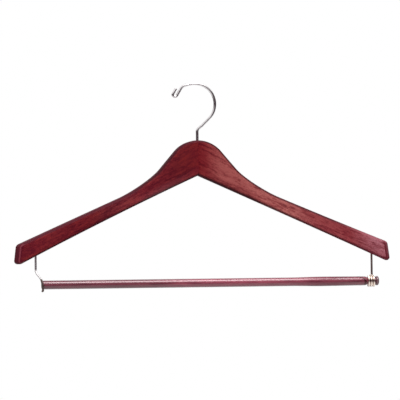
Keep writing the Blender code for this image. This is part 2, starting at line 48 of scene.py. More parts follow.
# Wooden arms, measured in their middle plane. A depth is a distance below the crown's top.
HALF_SPAN = 222.8 * MM
WOOD_THICKNESS = 14.0 * MM
EDGE_ROUND = 3.5 * MM
CROWN_Z = -66.2 * MM
CROWN_RADIUS = 36.5 * MM
FLANK_ANGLE = math.radians(49.7)
FLANK_LENGTH = 28.8 * MM
CROTCH_DEPTH = 41.9 * MM
UNDERSIDE_ANGLE = math.radians(25.4)
UNDERSIDE_ARCH = 1.4 * MM
WAIST_X = 96.5 * MM
WAIST_HEIGHT = 17.7 * MM
END_HEIGHT = 24.7 * MM
END_LEAN = math.radians(7.0)
END_TOP_RADIUS = 5.5 * MM
END_BOTTOM_RADIUS = 3.6 * MM
FORWARD_BOW = 45.0 * MM
BOW_POWER = 1.7
FLANK_HANDLE_SHARE = 0.195
WAIST_HANDLE_SHARE = 0.331
SEAM_CHAMFER = 0.06 * MM
FACE_MARGIN = 0.4 * MM
BOW_STEPS = 48
STRAIGHTEN_ROUNDS = 6
BOARD_PLACE = "board_place"

# Hook: one bent wire. A bend is given by the radius of the wire's centre line.
HOOK_WIRE_RADIUS = 1.6 * MM
SHANK_IN_WOOD = 20.0 * MM
SHANK_BEND_RADIUS = 5.0 * MM
SHANK_BEND = math.radians(55.0)
THROAT_RADIUS = 40.0 * MM
THROAT_BEND = math.radians(10.0)
THROAT_LENGTH = 10.4 * MM
HOOK_RADIUS = 24.1 * MM
HOOK_BEND = math.radians(140.0)
BROW_RADIUS = 44.0 * MM
BROW_BEND = math.radians(13.0)
NOSE_RADIUS = 10.0 * MM
NOSE_BEND = math.radians(42.0)
NOSE_LENGTH = 9.0 * MM
FOLD_RADIUS = 2.5 * MM
FOLD_LENGTH = 7.0 * MM
HOOK_GROOVE_DEPTH = 11.0 * MM
HOOK_GROOVE_RADIUS = 1.0 * MM
HOOK_GROOVE_HALF = 1.0 * MM
GROOVE_FLARE = 0.3 * MM

# Trouser bar and its end knob, turned about an axis along X.
BAR_Y = -44.06 * MM
BAR_Z = -235.39 * MM
BAR_RADIUS = 5.05 * MM
BAR_SWELL_RADIUS = 5.6 * MM
BAR_SHOULDER_RADIUS = 5.35 * MM
BAR_END_ROUND = 1.4 * MM
BAR_SHOULDER_ROUND = 6.0 * MM
NECK_RADIUS = 4.4 * MM
SWELL_SPAN_SHARES = (0.755, 0.86)
KNOB_RADIUS = 5.5 * MM
KNOB_LENGTH = 3.2 * MM
KNOB_ROUND = 1.3 * MM
FIT_GAP = 0.3 * MM
RUNNING_GAP = 0.4 * MM

# The two bar wires.
BAR_WIRE_RADIUS = 1.2 * MM
LEG_IN_WOOD = 14.5 * MM
CATCH_LEG_X = -198.2 * MM
CATCH_LEG_RISE = 17.5 * MM
CATCH_CRANK_OUT = 4.9 * MM
CATCH_RADIUS = 7.0 * MM
CATCH_START = math.radians(25.0)
CATCH_TURN = math.radians(155.0)
CATCH_SLANT = 2.6 * MM
CATCH_TAIL = 6.5 * MM
CATCH_TAIL_DROP = 0.8 * MM
CATCH_BEND = 5.0 * MM
BAR_END_PAST_CATCH = 1.7 * MM
COIL_LEG_X = 201.9 * MM
COIL_JOG = 1.2 * MM
COIL_JOG_RISE = 9.0 * MM
COIL_PITCH = 3.0 * MM
COIL_START = math.radians(270.0)
COIL_TURNS = 2.58
COIL_TAIL = 4.0 * MM
LEG_GROOVE_RISE = 8.0 * MM
LEG_GROOVE_RADIUS = 0.65 * MM
LEG_GROOVE_HALF = 0.8 * MM

COIL_RADIUS = NECK_RADIUS + RUNNING_GAP + BAR_WIRE_RADIUS
COIL_START_X = COIL_LEG_X + COIL_JOG
NECK_END_X = COIL_START_X + BAR_WIRE_RADIUS + RUNNING_GAP - FIT_GAP
SHOULDER_X = COIL_START_X - COIL_PITCH * COIL_TURNS - BAR_WIRE_RADIUS - RUNNING_GAP
CATCH_X = CATCH_LEG_X + CATCH_CRANK_OUT
BAR_LEFT_X = CATCH_X + CATCH_SLANT - BAR_END_PAST_CATCH

# How finely the round shapes are made.
WIRE_SIDES = 24
WIRE_BEND_STEP = math.radians(3.5)
WIRE_END_ROUND = 0.3
TURNED_STEPS = 72
WELD_DISTANCE = 0.002 * MM
CREASE_ANGLE = math.radians(38.0)

# Grain of the arms: how the wood's tone is mixed, and where its colours and pores lie in it.
FIGURE_SHARE = 0.4
STREAK_SHARE = 0.3
FLECK_SHARE = 0.3
DARK_TONE = 0.40
LIGHT_TONE = 0.50
STREAK_TONE = 0.60
# The painted sheen lies less on dark grain than on light grain, between these tones.
SHEEN_GRAIN_SPAN = (0.42, 0.55)
PORE_SPAN = (0.58, 0.68)
STREAK_SPAN = (0.3, 0.7)
WOOD_ROUGHNESS = (0.38, 0.50)
WOOD_SHINE = 0.08
GRAIN_RELIEF = 0.05 * MM
RELIEF_STRENGTH = 0.25
STREAK_RELIEF = 0.5

# Stain and painted light and shade of the arms. A reach runs from 0 at the seam to 1 at the arm's
# end. The rim is the rounded edge, darker partly as pooled stain and partly as painted shade. The
# under band lies along the lower edge and is painted paler in places and darker in others, as
# painted light and shade, and a painted sheen lies over it. The crest is a painted sheen on the
# upper rim, and the end highlights are painted highlights on the rounded end edges, beside painted
# dark lines of shade. A line's core is the share of its width that is fully dark.
PORE_COVER = 0.4
PORE_SHADE = 0.45
RIM_STAIN_AND_SHADE_WIDTH = 0.6 * MM
RIM_COVER = 0.85
RIM_COLOUR = (0.082, 0.010, 0.019)
RIM_PAINTED_LIGHT = 0.35
RIM_DULLNESS = 0.1
CREST_SPAN = (0.70, 0.90)
UNDER_BAND = (13.0 * MM, 4.0 * MM)
UNDER_NEUTRAL = 0.5
UNDER_DEPTH = 0.8
UNDER_SHEEN_SCALE = 1.4
UNDER_SHEEN_ADD = 0.13
SHEEN_ON_DARK_GRAIN = 0.3
SEAM_STAIN_HALF = 0.95 * MM
SEAM_STAIN_RISE = 6.0 * MM
SEAM_STAIN_COVER = 0.95
SEAM_STAIN_SHADE = 0.3
END_REACH = (0.955, 0.975)
END_HIGHLIGHT_START = 6.65 * MM
END_HIGHLIGHT_END = 6.1 * MM
END_HIGHLIGHT_COLOUR = (0.17, 0.032, 0.045)
EDGE_LINE = 0.05 * MM
LINE_CORE = 0.3

# Plate of the wires.
TARNISH_SPAN = (0.4, 0.7)
TARNISH_SHADE = 0.8
DRAWING_MARKS = (0.8, 1.4)
RUBBED_PLATE = (0.16, 0.12, 0.11)
# The crank's pale colour is a painted highlight.
CRANK_PAINTED_HIGHLIGHT = (1.0, 0.98, 0.98)
CRANK_DULLNESS = 0.35

# Lacquer, wear and painted light and shade of the bar. The tones run along it from the left and
# are painted light and shade, and the shoulder line is a painted shade line.
BAR_GRAIN = (0.35, 0.62)
BAR_PAINTED_LIGHT_AND_SHADE = [(0.0, 0.62), (0.37, 0.72), (0.45, 1.25), (0.75, 1.28), (0.80, 0.95)]
LACQUER_TINT = (1.0, 0.6, 0.66, 1.0)
RUBBED_COAT = 0.35
RUBBED_SPAN = (90.0 * MM, 145.0 * MM)
POLISHED_SPAN = (152.0 * MM, 172.0 * MM)
SHOULDER_LINE_IN = 2.4 * MM
SHOULDER_LINE_BEND = 8.6 * MM
SHOULDER_LINE_FOOT = 2.0 * MM
SHOULDER_LINE_CURVE = 3.2
SHOULDER_LINE_WIDTH = 2.2 * MM
SHOULDER_SHADE_COLOUR = (0.05, 0.009, 0.010)
PATCH_SPAN = (0.40, 0.60)
PATCH_SHARES = (0.5, 1.0)
LACQUER_SPREAD = 1.5

# The photograph, 400 pixels square, was taken a little from the left and from below.
PHOTO_SIZE = 400.0
CAMERA_AIM = Vector((-0.0013, -0.0198, -0.1378))
CAMERA_YAW = math.radians(-10.83)
CAMERA_PITCH = math.radians(1.89)
CAMERA_ROLL = math.radians(-0.67)
CAMERA_DISTANCE = 2.4
FOCAL_PIXELS = 2034.5
SENSOR_WIDTH = 36.0

# The floor. Its fade is a distance from the middle, and its glow is what the camera sees.
FLOOR_Z = -0.62
FLOOR_RADIUS = 2.5
FLOOR_FADE = (0.5, 2.2)
FLOOR_GLOW = 0.3
FLOOR_COLOUR = (0.9, 0.9, 0.9)
FLOOR_BOUNCE = (0.3, 0.3, 0.3)

# The room round the object. A span is of the height of a view from -1 at the floor to 1 at the
# ceiling, or of how far it faces the front wall. A brightness of 1 is white.
CEILING_LEAN = 0.35
CEILING_SPAN = (0.1, 0.5)
CEILING_BRIGHT = 1.0
MIRRORED_FLOOR_LEAN = 0.05
MIRRORED_FLOOR_SPAN = (0.15, 0.6)
MIRRORED_FLOOR_BRIGHT = 0.9
BELT_COLOUR = (0.060, 0.044, 0.050)
FRONT_COLOUR = (0.12, 0.092, 0.100)
FRONT_WAY = (-0.31, -0.95)
FRONT_SPAN = (0.80, 1.0)
ROOM_SPAN = (-0.3, 0.8)
ROOM_BELOW = 0.05
ROOM_ABOVE = 0.36


def bow_y(x):
    """Place of the wood's middle plane at a distance x from the seam."""
    return -FORWARD_BOW * (abs(x) / HALF_SPAN) ** BOW_POWER


def bow_angle(x):
    """Angle between the arm and the X axis at x, seen from above."""
    rise = BOW_POWER * FORWARD_BOW * (abs(x) / HALF_SPAN) ** (BOW_POWER - 1)
    return math.atan(rise / HALF_SPAN)


def underside_depth(x):
    """Depth of the arm's lower edge, a slope with a slight arch."""
    share = abs(x) / HALF_SPAN
    arch = 4 * UNDERSIDE_ARCH * share * (1 - share)
    return CROTCH_DEPTH + abs(x) * math.tan(UNDERSIDE_ANGLE) - arch


def underside_z(x):
    """Height of the arm's lower edge at x, where a wire's leg comes out."""
    return CROWN_Z - underside_depth(x)


def arm_height(x):
    """Height of the arm between its waist and its end."""
    share = (abs(x) - WAIST_X) / (HALF_SPAN - WAIST_X)
    return WAIST_HEIGHT + (END_HEIGHT - WAIST_HEIGHT) * share


def curve_through(start, start_handle, end_handle, end, steps):
    """Points along one smooth curve with two handles, both ends included."""
    points = []
    for i in range(steps + 1):
        t = i / steps
        s = 1 - t
        points.append(start * s ** 3 + start_handle * 3 * s * s * t
                      + end_handle * 3 * s * t * t + end * t ** 3)
    return points


def round_corner(before, corner, after, radius, steps):
    """Points of the arc that rounds a corner between two straight edges."""
    to_before = (before - corner).normalized()
    to_after = (after - corner).normalized()
    half_angle = to_before.angle(to_after) / 2
    centre = corner + (to_before + to_after).normalized() * radius / math.sin(half_angle)
    reach = radius / math.tan(half_angle)
    first = (corner + to_before * reach - centre).normalized()
    last = (corner + to_after * reach - centre).normalized()
    return [centre + first.slerp(last, i / steps) * radius for i in range(steps + 1)]


def half_outline():
    """The right half of the wood's outline, from the crown round the end to the crotch."""
    points = []
    crown_steps = 18
    for i in range(crown_steps + 1):
        angle = FLANK_ANGLE * i / crown_steps
        points.append(Vector((math.sin(angle), 1 - math.cos(angle), 0)) * CROWN_RADIUS)
    flank = Vector((math.cos(FLANK_ANGLE), math.sin(FLANK_ANGLE), 0))
    flank_end = points[-1] + flank * FLANK_LENGTH
    waist = Vector((WAIST_X, underside_depth(WAIST_X) - arm_height(WAIST_X), 0))
    end_top = Vector((HALF_SPAN - END_HEIGHT * math.tan(END_LEAN),
                      underside_depth(HALF_SPAN) - END_HEIGHT, 0))
    end_bottom = Vector((HALF_SPAN, underside_depth(HALF_SPAN), 0))
    arm = (end_top - waist).normalized()
    reach = (waist - flank_end).length
    points += curve_through(flank_end, flank_end + flank * reach * FLANK_HANDLE_SHARE,
                            waist - arm * reach * WAIST_HANDLE_SHARE, waist, steps=24)
    underside = []
    underside_steps = 16
    for i in range(underside_steps, 0, -1):
        x = (HALF_SPAN - 2 * END_BOTTOM_RADIUS) * i / underside_steps
        underside.append(Vector((x, underside_depth(x), 0)))
    points += round_corner(waist, end_top, end_bottom, END_TOP_RADIUS, steps=10)
    points += round_corner(end_top, end_bottom, underside[0], END_BOTTOM_RADIUS, steps=8)
    points += underside
    points.append(Vector((0, underside_depth(0), 0)))
    return points


def new_piece(name, bm, material, body, node):
    """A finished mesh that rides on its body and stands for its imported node."""
    bmesh.ops.remove_doubles(bm, verts=bm.verts, dist=WELD_DISTANCE)
    bmesh.ops.recalc_face_normals(bm, faces=bm.faces)
    mesh = bpy.data.meshes.new(name)
    bm.to_mesh(mesh)
    bm.free()
    mesh.shade_smooth()
    mesh.set_sharp_from_angle(angle=CREASE_ANGLE)
    mesh.materials.append(material)
    piece = bpy.data.objects.new(name, mesh)
    bpy.context.scene.collection.objects.link(piece)
    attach(piece, body)
    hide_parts(node)
    return piece


def sawn_blank():
    """The whole wooden body: an outline sawn from a board, then rounded over.

    The two broad faces, the only ones with many sides, get a narrow margin.
    """
    right = half_outline()
    outline = right + [Vector((-p.x, p.y, 0)) for p in reversed(right[1:-1])]
    bm = bmesh.new()
    verts = [bm.verts.new((p.x, -WOOD_THICKNESS / 2, CROWN_Z - p.y)) for p in outline]
    edges = [bm.edges.new((verts[i - 1], verts[i])) for i in range(len(verts))]
    front = bmesh.ops.contextual_create(bm, geom=edges)["faces"]
    grown = bmesh.ops.extrude_face_region(bm, geom=front)["geom"]
    moved = [v for v in grown if isinstance(v, bmesh.types.BMVert)]
    bmesh.ops.translate(bm, verts=moved, vec=(0, WOOD_THICKNESS, 0))
    bmesh.ops.recalc_face_normals(bm, faces=bm.faces)
    rims = [e for e in bm.edges if abs(e.verts[0].co.y - e.verts[1].co.y) < WELD_DISTANCE]
    bmesh.ops.bevel(bm, geom=rims, offset=EDGE_ROUND, segments=7, profile=0.5, material=-1,
                    affect="EDGES", clamp_overlap=True)
    broad_faces = [f for f in bm.faces if len(f.verts) > 8]
    bmesh.ops.inset_region(bm, faces=broad_faces, thickness=FACE_MARGIN)
    return bm


def bow_arm(bm):
    """Bend the arm forward to its end, as steamed wood is bent."""
    for i in range(1, BOW_STEPS):
        for side in (-1, 1):
            everything = bm.verts[:] + bm.edges[:] + bm.faces[:]
            bmesh.ops.bisect_plane(bm, geom=everything, dist=WELD_DISTANCE,
                                   plane_co=(side * HALF_SPAN * i / BOW_STEPS, 0, 0),
                                   plane_no=(1, 0, 0))
    for vert in bm.verts:
        side = math.copysign(1.0, vert.co.x)
        angle = bow_angle(vert.co.x)
        vert.co = (vert.co.x + side * vert.co.y * math.sin(angle),
                   bow_y(vert.co.x) + vert.co.y * math.cos(angle), vert.co.z)


def straight_place(point):
    """Where a point of a bent arm lay in the straight board, found in a few rounds."""
    side = math.copysign(1.0, point.x)
    x, across = point.x, 0.0
    for _ in range(STRAIGHTEN_ROUNDS):
        angle = bow_angle(x)
        across = (point.y - bow_y(x)) / math.cos(angle)
        x = point.x - side * across * math.sin(angle)
    return Vector((x, across, point.z))


def arm_piece(node, side, material, bores):
    """One arm, parted from the blank at the seam. Its bores are cut as modifiers."""
    bm = sawn_blank()
    everything = bm.verts[:] + bm.edges[:] + bm.faces[:]
    bmesh.ops.bisect_plane(bm, geom=everything, dist=WELD_DISTANCE,
                           plane_co=(0, 0, 0), plane_no=(side, 0, 0), clear_inner=True)
    bmesh.ops.holes_fill(bm, edges=[e for e in bm.edges if e.is_boundary])
    seam = [f for f in bm.faces if all(abs(v.co.x) < WELD_DISTANCE for v in f.verts)]
    seam_edges = [e for f in seam for e in f.edges]
    bmesh.ops.bevel(bm, geom=seam_edges, offset=SEAM_CHAMFER, segments=1, profile=0.5,
                    material=-1, affect="EDGES", clamp_overlap=True)
    bow_arm(bm)
    piece = new_piece("stained_" + node, bm, material, "shoulders", node)
    for bore in bores:
        drill = piece.modifiers.new("drill", "BOOLEAN")
        drill.operation = "DIFFERENCE"
        drill.object = bore
        drill.solver = "EXACT"
    return piece


def drill_bit(radius, start, end):
    """A round cutter between two points, for a bore."""
    bm = bmesh.new()
    bmesh.ops.create_cone(bm, cap_ends=True, segments=WIRE_SIDES, radius1=radius,
                          radius2=radius, depth=(end - start).length)
    turn = (end - start).to_track_quat("Z", "Y").to_matrix().to_4x4()
    bm.transform(Matrix.Translation((start + end) / 2) @ turn)
    mesh = bpy.data.meshes.new("drill_bit")
    bm.to_mesh(mesh)
    bm.free()
    bit = bpy.data.objects.new("drill_bit", mesh)
    bpy.context.scene.collection.objects.link(bit)
    bit.hide_render = True
    return bit


def settle(pieces, bits):
    """Keep the drilled shape of each arm and put the drill bits away.

    Each vertex then keeps its place in the straight board, which the grain follows.
    """
    graph = bpy.context.evaluated_depsgraph_get()
    for piece in pieces:
        drilled = bpy.data.meshes.new_from_object(piece.evaluated_get(graph))
        piece.modifiers.clear()
        piece.data = drilled
        drilled.shade_smooth()
        drilled.set_sharp_from_angle(angle=CREASE_ANGLE)
        board = drilled.attributes.new(BOARD_PLACE, "FLOAT_VECTOR", "POINT")
        for vert, place in zip(drilled.vertices, board.data):
            place.vector = straight_place(vert.co)
    for bit in bits:
        bpy.data.objects.remove(bit)


def make_arms(left_material, right_material):
    """Both wooden arms, bored for the hook, the wires, the nails and the dowels."""
    shank = drill_bit(HOOK_WIRE_RADIUS + FIT_GAP,
                      Vector((0, 0, CROWN_Z - SHANK_IN_WOOD - FIT_GAP)),
                      Vector((0, 0, CROWN_Z + EDGE_ROUND)))
    legs = []
    for x in (CATCH_LEG_X, COIL_LEG_X):
        foot = Vector((x, bow_y(x), underside_z(x)))
        legs.append(drill_bit(BAR_WIRE_RADIUS + FIT_GAP, foot - Vector((0, 0, EDGE_ROUND)),
                              foot + Vector((0, 0, LEG_IN_WOOD + FIT_GAP))))
    nails = []
    for node in ("hook_pin", "coil_wire_pin"):
        low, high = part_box(node)
        middle = (low + high) / 2
        nails.append(drill_bit((high.x - low.x) / 2 + FIT_GAP,
                               Vector((middle.x, low.y - FIT_GAP, middle.z)),
                               Vector((middle.x, high.y + 2 * EDGE_ROUND, middle.z))))
    dowels = []
    for node in ("joint_dowel_upper", "joint_dowel_lower"):
        low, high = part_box(node)
        middle = (low + high) / 2
        dowels.append(drill_bit((high.z - low.z) / 2 + FIT_GAP,
                                Vector((low.x - FIT_GAP, middle.y, middle.z)),
                                Vector((high.x + FIT_GAP, middle.y, middle.z))))
    left = arm_piece("left_arm", -1, left_material, [shank, legs[0]] + dowels)
    right = arm_piece("right_arm", 1, right_material, [shank, legs[1]] + nails + dowels)
    settle([left, right], [shank] + legs + nails + dowels)


def bend(points, heading, radius, angle):
    """Carry a wire's path on through a bend in the XZ plane. A positive angle turns left."""
    steps = max(4, math.ceil(abs(angle) / WIRE_BEND_STEP))
    side = math.copysign(1.0, angle)
    start = points[-1]
    centre = start + Vector((-math.sin(heading), 0, math.cos(heading))) * radius * side
    for i in range(1, steps + 1):
        points.append(centre + Matrix.Rotation(-angle * i / steps, 3, "Y") @ (start - centre))
    return heading + angle


def straight(points, heading, length):
    """Carry a wire's path straight on in the XZ plane."""
    points.append(points[-1] + Vector((math.cos(heading), 0, math.sin(heading))) * length)


def groove(middle, half_length, wire_radius, groove_radius, upward):
    """Points and shares of a turned groove in an upright wire."""
    share = groove_radius / wire_radius
    heights = [-half_length - GROOVE_FLARE, -half_length, half_length,
               half_length + GROOVE_FLARE]
    if not upward:
        heights.reverse()
    return [middle + Vector((0, 0, h)) for h in heights], [1.0, share, share, 1.0]


def draw_wire(points, radius, shares):
    """A round wire drawn along a path: a ring is pushed on, step by step, and turned.

    Its two flat ends, the only faces with more than four sides, are rounded over.
    """
    bm = bmesh.new()
    heading = (points[1] - points[0]).normalized()
    turn = heading.to_track_quat("Z", "Y").to_matrix().to_4x4()
    ring = bmesh.ops.create_circle(bm, segments=WIRE_SIDES, radius=radius * shares[0],
                                   matrix=Matrix.Translation(points[0]) @ turn)["verts"]
    bmesh.ops.contextual_create(bm, geom=ring)
    edges = bm.edges[:]
    for i in range(1, len(points)):
        grown = bmesh.ops.extrude_edge_only(bm, edges=edges)["geom"]
        edges = [g for g in grown if isinstance(g, bmesh.types.BMEdge)]
        verts = [g for g in grown if isinstance(g, bmesh.types.BMVert)]
        edges = [e for e in edges if e.verts[0] in verts and e.verts[1] in verts]
        bmesh.ops.translate(bm, verts=verts, vec=points[i] - points[i - 1])
        new_heading = (points[min(i + 1, len(points) - 1)] - points[i - 1]).normalized()
        swing = heading.rotation_difference(new_heading).to_matrix()
        bmesh.ops.rotate(bm, verts=verts, cent=points[i], matrix=swing)
        if shares[i] != shares[i - 1]:
            size = shares[i] / shares[i - 1]
            bmesh.ops.scale(bm, verts=verts, vec=(size, size, size),
                            space=Matrix.Translation(-points[i]))
        heading = new_heading
    bmesh.ops.contextual_create(bm, geom=verts)
    rims = [e for e in bm.edges if any(len(f.verts) > 4 for f in e.link_faces)]
    bmesh.ops.bevel(bm, geom=rims, offset=radius * WIRE_END_ROUND, segments=3, profile=0.5,
                    material=-1, affect="EDGES", clamp_overlap=True)
    return bm


def hook_path():
    """Path of the hook from the foot of its shank to its folded tip."""
    points = [Vector((0, 0, 0))]
    heading = bend(points, math.pi / 2, SHANK_BEND_RADIUS, -SHANK_BEND)
    heading = bend(points, heading, THROAT_RADIUS, THROAT_BEND)
    straight(points, heading, THROAT_LENGTH)
    heading = bend(points, heading, HOOK_RADIUS, HOOK_BEND)
    heading = bend(points, heading, BROW_RADIUS, BROW_BEND)
    heading = bend(points, heading, NOSE_RADIUS, NOSE_BEND)
    straight(points, heading, NOSE_LENGTH)
    heading = bend(points, heading, FOLD_RADIUS, -math.pi)
    straight(points, heading, FOLD_LENGTH)
    lift = Vector((0, 0, HOOK_WIRE_RADIUS - max(p.z for p in points)))
    middle = Vector((0, 0, CROWN_Z - HOOK_GROOVE_DEPTH))
    ring, shares = groove(middle, HOOK_GROOVE_HALF, HOOK_WIRE_RADIUS, HOOK_GROOVE_RADIUS,
                          upward=True)
    path = [Vector((0, 0, CROWN_Z - SHANK_IN_WOOD))] + ring + [p + lift for p in points]
    return path, [1.0] + shares + [1.0] * len(points)


def loop_point(angle, x, radius, centre_z):
    """A point on a loop round the bar. The angle runs from the top over the front."""
    return Vector((x, BAR_Y - radius * math.sin(angle), centre_z + radius * math.cos(angle)))


def catch_path():
    """Path of the left wire: down its leg, forward to the bar and round its front."""
    leg_y = bow_y(CATCH_LEG_X)
    top = Vector((CATCH_LEG_X, leg_y, underside_z(CATCH_LEG_X) + LEG_IN_WOOD))
    knee = Vector((CATCH_LEG_X, leg_y, BAR_Z + CATCH_LEG_RISE))
    centre_z = BAR_Z + CATCH_RADIUS - BAR_WIRE_RADIUS - FIT_GAP - BAR_RADIUS
    steps = 40
    loop = []
    for i in range(steps + 1):
        share = i / steps
        loop.append(loop_point(CATCH_START + CATCH_TURN * share, CATCH_X + CATCH_SLANT * share,
                               CATCH_RADIUS, centre_z))
    arrival = (loop[1] - loop[0]).normalized()
    crank = curve_through(knee, knee - Vector((0, 0, CATCH_BEND)),
                          loop[0] - arrival * CATCH_BEND, loop[0], steps=24)
    tail = [loop[-1] + Vector((0, CATCH_TAIL / 2, 0)),
            loop[-1] + Vector((0, CATCH_TAIL, -CATCH_TAIL_DROP))]
    path = [top] + crank + loop[1:] + tail
    return path, [1.0] * len(path)


def coil_path():
    """Path of the right wire: down its leg, then wound round the bar's neck."""
    leg_y = bow_y(COIL_LEG_X)
    foot = underside_z(COIL_LEG_X)
    top = Vector((COIL_LEG_X, leg_y, foot + LEG_IN_WOOD))
    ring, ring_shares = groove(Vector((COIL_LEG_X, leg_y, foot + LEG_GROOVE_RISE)),
                               LEG_GROOVE_HALF, BAR_WIRE_RADIUS, LEG_GROOVE_RADIUS,
                               upward=False)
    knee = Vector((COIL_LEG_X, leg_y, BAR_Z + COIL_JOG_RISE))
    steps = 124
    coil = []
    for i in range(steps + 1):
        turn = COIL_TURNS * i / steps
        coil.append(loop_point(COIL_START - 2 * math.pi * turn,
                               COIL_START_X - COIL_PITCH * turn, COIL_RADIUS, BAR_Z))
    down = Vector((0, 0, COIL_JOG_RISE / 2))
    jog = curve_through(knee, knee - down, coil[0] + down, coil[0], steps=14)
    tail = coil[-1] + (coil[-1] - coil[-2]).normalized() * COIL_TAIL
    path = [top] + ring + jog + coil[1:] + [tail]
    return path, [1.0] + ring_shares + [1.0] * (len(path) - len(ring) - 1)


def quarter(centre_radius, centre_x, radial, axial, steps, outward):
    """Profile points (x, radius) of a rounded edge, a quarter of an ellipse."""
    points = []
    for i in range(steps + 1):
        angle = math.pi / 2 * i / steps
        across = math.sin(angle) if outward else math.cos(angle)
        along = -math.cos(angle) if outward else math.sin(angle)
        points.append((centre_x + axial * along, centre_radius + radial * across))
    return points


def turn_on_lathe(profile):
    """A piece turned about the bar's axis from a profile of (x, radius) points."""
    bm = bmesh.new()
    verts = [bm.verts.new((x, BAR_Y - radius, BAR_Z)) for x, radius in profile]
    edges = [bm.edges.new((verts[i], verts[i + 1])) for i in range(len(verts) - 1)]
    bmesh.ops.spin(bm, geom=verts + edges, cent=(0, BAR_Y, BAR_Z), axis=(1, 0, 0),
                   angle=2 * math.pi, steps=TURNED_STEPS, use_merge=True)
    return bm


def bar_profile():
    """The bar from its left end to its neck."""
    length = SHOULDER_X - BAR_LEFT_X
    profile = [(BAR_LEFT_X, 0)]
    profile += quarter(BAR_RADIUS - BAR_END_ROUND, BAR_LEFT_X + BAR_END_ROUND, BAR_END_ROUND,
                       BAR_END_ROUND, steps=8, outward=True)
    swell_start, swell_end = (BAR_LEFT_X + length * share for share in SWELL_SPAN_SHARES)
    plain_steps = 24
    first = BAR_LEFT_X + BAR_END_ROUND
    profile += [(first + (swell_start - first) * i / plain_steps, BAR_RADIUS)
                for i in range(1, plain_steps)]
    swell_steps = 12
    for i in range(swell_steps + 1):
        share = i / swell_steps
        ease = share * share * (3 - 2 * share)
        profile.append((swell_start + (swell_end - swell_start) * share,
                        BAR_RADIUS + (BAR_SWELL_RADIUS - BAR_RADIUS) * ease))
    round_start = SHOULDER_X - BAR_SHOULDER_ROUND
    profile += quarter(NECK_RADIUS, round_start, BAR_SHOULDER_RADIUS - NECK_RADIUS,
                       BAR_SHOULDER_ROUND, steps=10, outward=False)
    profile += [(SHOULDER_X, NECK_RADIUS), (NECK_END_X, NECK_RADIUS), (NECK_END_X, 0)]
    return profile


def knob_profile():
    """The end knob, a thick disc with round edges."""
    inner = NECK_END_X + FIT_GAP
    outer = inner + KNOB_LENGTH
    profile = [(inner, 0)]
    profile += quarter(KNOB_RADIUS - KNOB_ROUND, inner + KNOB_ROUND, KNOB_ROUND, KNOB_ROUND,
                       steps=6, outward=True)
    profile += quarter(KNOB_RADIUS - KNOB_ROUND, outer - KNOB_ROUND, KNOB_ROUND, KNOB_ROUND,
                       steps=6, outward=False)
    profile.append((outer, 0))
    return profile


class Recipe:
    """A node tree written step by step, with short names for what it needs."""

    def __init__(self, tree):
        self.tree = tree

    def add(self, kind, **settings):
        """A new node with its own settings."""
        node = self.tree.nodes.new(kind)
        for key, value in settings.items():
            setattr(node, key, value)
        return node

    def link(self, source, target):
        """Join an output to an input."""
        self.tree.links.new(source, target)

    def coordinates(self, kind):
        """Coordinates of one kind, such as Object on a piece."""
        return self.add("ShaderNodeTexCoord").outputs[kind]

    def split(self, place):
        """The three parts of a place."""
        node = self.add("ShaderNodeSeparateXYZ")
        self.link(place, node.inputs[0])
        return node.outputs

    def place(self, source, location=(0, 0, 0), turn=(0, 0, 0), scale=(1, 1, 1)):
        """A Mapping node on a place."""
        node = self.add("ShaderNodeMapping")
        node.inputs["Location"].default_value = location
        node.inputs["Rotation"].default_value = turn
        node.inputs["Scale"].default_value = scale
        self.link(source, node.inputs["Vector"])
        return node.outputs["Vector"]

    def noise(self, place, scale, detail=4.0, roughness=0.5, distortion=0.0):
        """Noise read at a place."""
        node = self.add("ShaderNodeTexNoise")
        node.inputs["Scale"].default_value = scale
        node.inputs["Detail"].default_value = detail
        node.inputs["Roughness"].default_value = roughness
        node.inputs["Distortion"].default_value = distortion
        self.link(place, node.inputs["Vector"])
        return node.outputs["Fac"]

    def ramp(self, value, stops):
        """A colour ramp with stops of (position, colour)."""
        node = self.add("ShaderNodeValToRGB")
        elements = node.color_ramp.elements
        while len(elements) < len(stops):
            elements.new(0.5)
        for element, (position, colour) in zip(elements, stops):
            element.position = position
            element.color = (*colour, 1.0)
        self.link(value, node.inputs["Fac"])
        return node.outputs["Color"]

    def levels(self, value, stops):
        """A ramp of plain brightness with stops of (position, brightness)."""
        return self.ramp(value, [(position, (level,) * 3) for position, level in stops])

    def span(self, value, low, high, start=0.0, end=1.0):
        """A value brought from one span to another, and held inside it."""
        node = self.add("ShaderNodeMapRange")
        node.interpolation_type = "SMOOTHSTEP"
        for key, number in (("From Min", low), ("From Max", high), ("To Min", start),
                            ("To Max", end)):
            node.inputs[key].default_value = number
        self.link(value, node.inputs["Value"])
        return node.outputs["Result"]

    def maths(self, operation, first, second=0.0):
        """One sum on values or plain numbers."""
        node = self.add("ShaderNodeMath", operation=operation)
        for socket, value in zip(node.inputs, (first, second)):
            if isinstance(value, (int, float)):
                socket.default_value = value
            else:
                self.link(value, socket)
        return node.outputs["Value"]

    def times(self, first, second):
        """Two values multiplied."""
        return self.maths("MULTIPLY", first, second)

    def plus(self, first, second):
        """Two values added."""
        return self.maths("ADD", first, second)

    def minus(self, first, second):
        """The second value taken from the first."""
        return self.maths("SUBTRACT", first, second)

    def mix(self, share, first, second, blend="MIX"):
        """Two colours mixed by a share."""
        node = self.add("ShaderNodeMix", data_type="RGBA", blend_type=blend)
        inputs = [s for s in node.inputs if s.enabled]
        for socket, value in zip(inputs, (share, first, second)):
            if isinstance(value, (int, float)):
                socket.default_value = value
            elif isinstance(value, tuple):
                socket.default_value = (*value, 1.0)
            else:
                self.link(value, socket)
        return [s for s in node.outputs if s.enabled][0]

    def glaze(self, colour, tint):
        """One colour laid over another, as a clear stain is."""
        return self.mix(1.0, colour, tint, blend="MULTIPLY")


